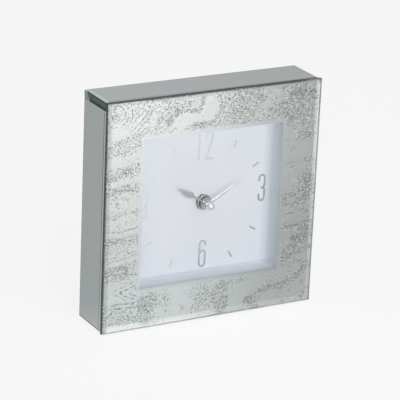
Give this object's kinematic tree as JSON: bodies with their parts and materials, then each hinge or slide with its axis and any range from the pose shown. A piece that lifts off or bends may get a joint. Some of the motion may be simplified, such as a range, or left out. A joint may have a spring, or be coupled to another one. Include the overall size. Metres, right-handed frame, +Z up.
{
  "type": "table clock",
  "caption": "Square table clock: silver marbled glass front with a square window on a recessed white dial, mirrored sides, battery quartz movement.",
  "frame": {"origin": "middle of the footprint on the resting surface, under the felt pads", "axes": "+Z up, front glass faces -Y, +X to the right as seen from the front"},
  "size_m": [0.15, 0.034, 0.151],
  "materials": {
    "clear_glass": "clear float glass, 3 mm, green cut edges, 2.4 mm polished bevel round the front",
    "marbled_foil": "silver mirror-like foil with dark grey marbled veins and specks",
    "mirror_glass": "silvered 4 mm mirror glass with ground edges",
    "fibreboard": "raw medium density fibreboard",
    "white_reveal": "white satin lining",
    "white_dial": "white satin dial with printed silver-grey numbers and dashes",
    "black_board": "black painted hardboard",
    "screw_steel": "zinc plated",
    "felt": "black wool felt",
    "movement_plastic": "black moulded plastic with a fine spark-eroded texture",
    "washer_rubber": "black rubber",
    "nickel": "dark nickel plate",
    "polished_metal": "polished silver-coloured metal",
    "arbor_brass": "turned brass",
    "gear_nylon": "natural moulded nylon",
    "rotor_magnet": "moulded magnet and pinion",
    "stator_steel": "stamped soft iron",
    "copper_wire": "enamelled copper winding",
    "circuit_board": "green lacquered board",
    "chip_resin": "black potting resin",
    "battery_jacket": "plain printed jacket with bare ends, no text",
    "contact_steel": "nickel plated spring strip",
    "knob_plastic": "white moulded plastic"
  },
  "bodies": {
    "case": {"front_glass": "clear_glass", "marbled_foil": "marbled_foil", "top_mirror_panel": "mirror_glass", "bottom_mirror_panel": "mirror_glass", "left_mirror_panel": "mirror_glass", "right_mirror_panel": "mirror_glass", "top_rail": "fibreboard", "bottom_rail": "fibreboard", "left_stile": "fibreboard", "right_stile": "fibreboard", "reveal_top": "white_reveal", "reveal_bottom": "white_reveal", "reveal_left": "white_reveal", "reveal_right": "white_reveal", "dial_plate": "white_dial", "back_panel": "black_board", "back_screw_1": "screw_steel", "back_screw_2": "screw_steel", "back_screw_3": "screw_steel", "back_screw_4": "screw_steel", "foot_pad_1": "felt", "foot_pad_2": "felt", "foot_pad_3": "felt", "foot_pad_4": "felt", "movement_case_front": "movement_plastic", "movement_case_back": "movement_plastic", "rubber_washer": "washer_rubber", "hex_nut": "nickel", "stator": "stator_steel", "coil": "copper_wire", "circuit_board": "circuit_board", "clock_chip": "chip_resin", "quartz_crystal": "screw_steel", "contact_positive": "contact_steel", "contact_negative": "contact_steel"},
    "minute_hand_group": {"minute_arbor": "arbor_brass", "minute_hand": "polished_metal", "ball_cap_nut": "polished_metal"},
    "hour_hand_group": {"hour_wheel": "gear_nylon", "hour_hand": "polished_metal"},
    "minute_wheel": {"minute_wheel": "gear_nylon"},
    "setting_knob": {"setting_knob": "knob_plastic"},
    "seconds_wheel": {"seconds_wheel": "gear_nylon"},
    "intermediate_wheel": {"intermediate_wheel": "gear_nylon"},
    "rotor": {"rotor": "rotor_magnet"},
    "third_wheel": {"third_wheel": "gear_nylon"},
    "centre_wheel": {"centre_wheel": "gear_nylon"},
    "battery": {"battery": "battery_jacket"}
  },
  "joints": [
    {"name": "minute_hand_turn", "type": "hinge", "parent": "case", "child": "minute_hand_group", "pos_m": [0.00085, -0.002, 0.0742], "axis": [0, 1, 0], "continuous": true},
    {"name": "hour_hand_turn", "type": "hinge", "parent": "case", "child": "hour_hand_group", "pos_m": [0.00085, -0.002, 0.0742], "axis": [0, 1, 0], "continuous": true},
    {"name": "minute_wheel_turn", "type": "hinge", "parent": "case", "child": "minute_wheel", "pos_m": [0.00874, 0.0032, 0.07133], "axis": [0, 1, 0], "continuous": true},
    {"name": "setting_knob_turn", "type": "hinge", "parent": "case", "child": "setting_knob", "pos_m": [0.01664, 0.0097, 0.0742], "axis": [0, 1, 0], "continuous": true},
    {"name": "seconds_wheel_turn", "type": "hinge", "parent": "case", "child": "seconds_wheel", "pos_m": [0.00085, 0.0092, 0.0742], "axis": [0, 1, 0], "continuous": true},
    {"name": "intermediate_wheel_turn", "type": "hinge", "parent": "case", "child": "intermediate_wheel", "pos_m": [-0.00545, 0.0097, 0.08171], "axis": [0, 1, 0], "continuous": true},
    {"name": "rotor_turn", "type": "hinge", "parent": "case", "child": "rotor", "pos_m": [-0.01231, 0.0122, 0.08567], "axis": [0, 1, 0], "continuous": true},
    {"name": "third_wheel_turn", "type": "hinge", "parent": "case", "child": "third_wheel", "pos_m": [0.0071, 0.0077, 0.08165], "axis": [0, 1, 0], "continuous": true},
    {"name": "centre_wheel_turn", "type": "hinge", "parent": "case", "child": "centre_wheel", "pos_m": [0.00085, 0.0057, 0.0742], "axis": [0, 1, 0], "continuous": true},
    {"name": "battery_slide", "type": "slide", "parent": "case", "child": "battery", "axis": [0, 1, 0], "range_m": [0, 0.018]}
  ],
  "couplings": [
    {"joint": "hour_hand_turn", "follows": "minute_hand_turn", "ratio": 0.083333},
    {"joint": "minute_wheel_turn", "follows": "minute_hand_turn", "ratio": -0.33333},
    {"joint": "setting_knob_turn", "follows": "minute_hand_turn", "ratio": 1},
    {"joint": "intermediate_wheel_turn", "follows": "seconds_wheel_turn", "ratio": -6},
    {"joint": "rotor_turn", "follows": "seconds_wheel_turn", "ratio": 30},
    {"joint": "third_wheel_turn", "follows": "seconds_wheel_turn", "ratio": -0.13333},
    {"joint": "centre_wheel_turn", "follows": "seconds_wheel_turn", "ratio": 0.016667}
  ]
}
